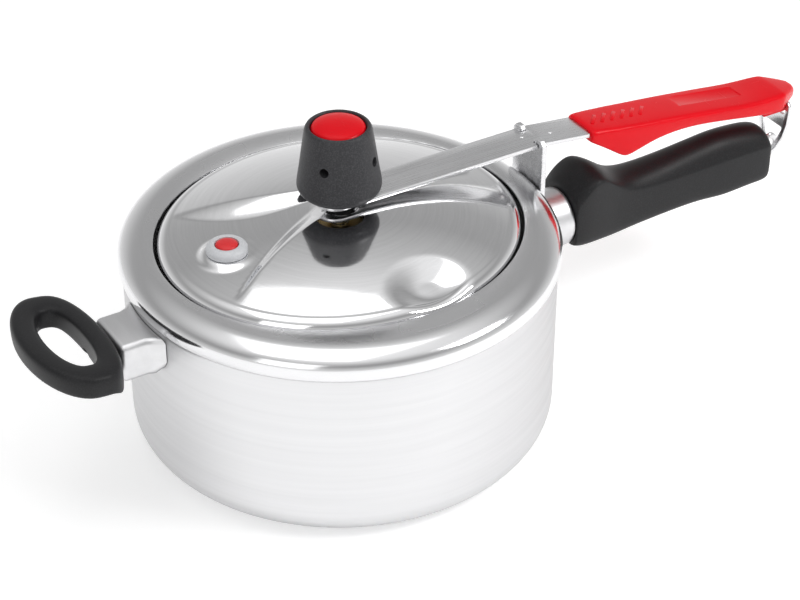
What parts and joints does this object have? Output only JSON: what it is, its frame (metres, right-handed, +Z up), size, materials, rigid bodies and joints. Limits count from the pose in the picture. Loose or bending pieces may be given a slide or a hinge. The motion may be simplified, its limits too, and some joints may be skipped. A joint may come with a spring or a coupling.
{
  "type": "stovetop pressure cooker",
  "caption": "Stovetop pressure cooker with an inner oval lid, clamping lever with latch ring, long handle, helper handle and jiggler weight.",
  "frame": {"origin": "centre of the flat base's underside", "axes": "+X along the long handle and lever, away from the pot; +Y across; +Z up"},
  "size_m": [0.4739, 0.23, 0.1774],
  "materials": {
    "polished_aluminium": "polished",
    "spun_aluminium": "satin wall, bright shoulder, concentric turning marks on the rim",
    "bright_steel": "brushed lengthwise",
    "black_phenolic": "satin moulded phenolic",
    "red_plastic": "glossy",
    "black_rubber": "matt",
    "pale_plastic": "satin",
    "red_silicone": "matt",
    "brass": "turned"
  },
  "bodies": {
    "pot": {"pot_body": "spun_aluminium", "fulcrum_bracket": "bright_steel", "handle_stud": "spun_aluminium", "handle_ferrule": "spun_aluminium", "long_handle": "black_phenolic", "tie_rod": "bright_steel", "rod_washer": "bright_steel", "helper_bracket": "spun_aluminium", "helper_rivet_left": "spun_aluminium", "helper_rivet_right": "spun_aluminium", "helper_handle": "black_phenolic", "helper_screw": "bright_steel", "helper_nut": "bright_steel"},
    "lever": {"lever_strap": "bright_steel", "lever_grip": "red_plastic", "grip_screw_front": "bright_steel", "grip_screw_rear": "bright_steel"},
    "lid": {"lid": "polished_aluminium", "lid_gasket": "black_rubber", "vent_tube": "bright_steel", "lever_washer": "black_rubber", "lever_nut": "bright_steel", "valve_ring": "pale_plastic", "valve_plug": "red_silicone", "valve_retainer": "bright_steel"},
    "weight": {"weight_shell": "black_phenolic", "weight_core": "brass", "weight_cap": "red_plastic"},
    "latch": {"latch_ring": "bright_steel"}
  },
  "joints": [
    {"name": "lever_hinge", "type": "hinge", "parent": "pot", "child": "lever", "pos_m": [0.1168, 0, 0.1318], "axis": [0, -1, 0], "range_deg": [0, 7]},
    {"name": "lid_rock", "type": "hinge", "parent": "lever", "child": "lid", "pos_m": [0, 0, 0.133], "axis": [0, -1, 0], "range_deg": [-7.5, 0.5]},
    {"name": "latch_swing", "type": "hinge", "parent": "pot", "child": "latch", "pos_m": [0.2848, 0, 0.0754], "axis": [0, 1, 0], "range_deg": [0, 62]},
    {"name": "weight_lift", "type": "slide", "parent": "lid", "child": "weight", "axis": [0, 0, 1], "range_m": [0, 0.03]}
  ],
  "couplings": [
    {"joint": "lid_rock", "follows": "lever_hinge", "ratio": -1},
    {"joint": "latch_swing", "follows": "lever_hinge", "ratio": 8.5}
  ]
}
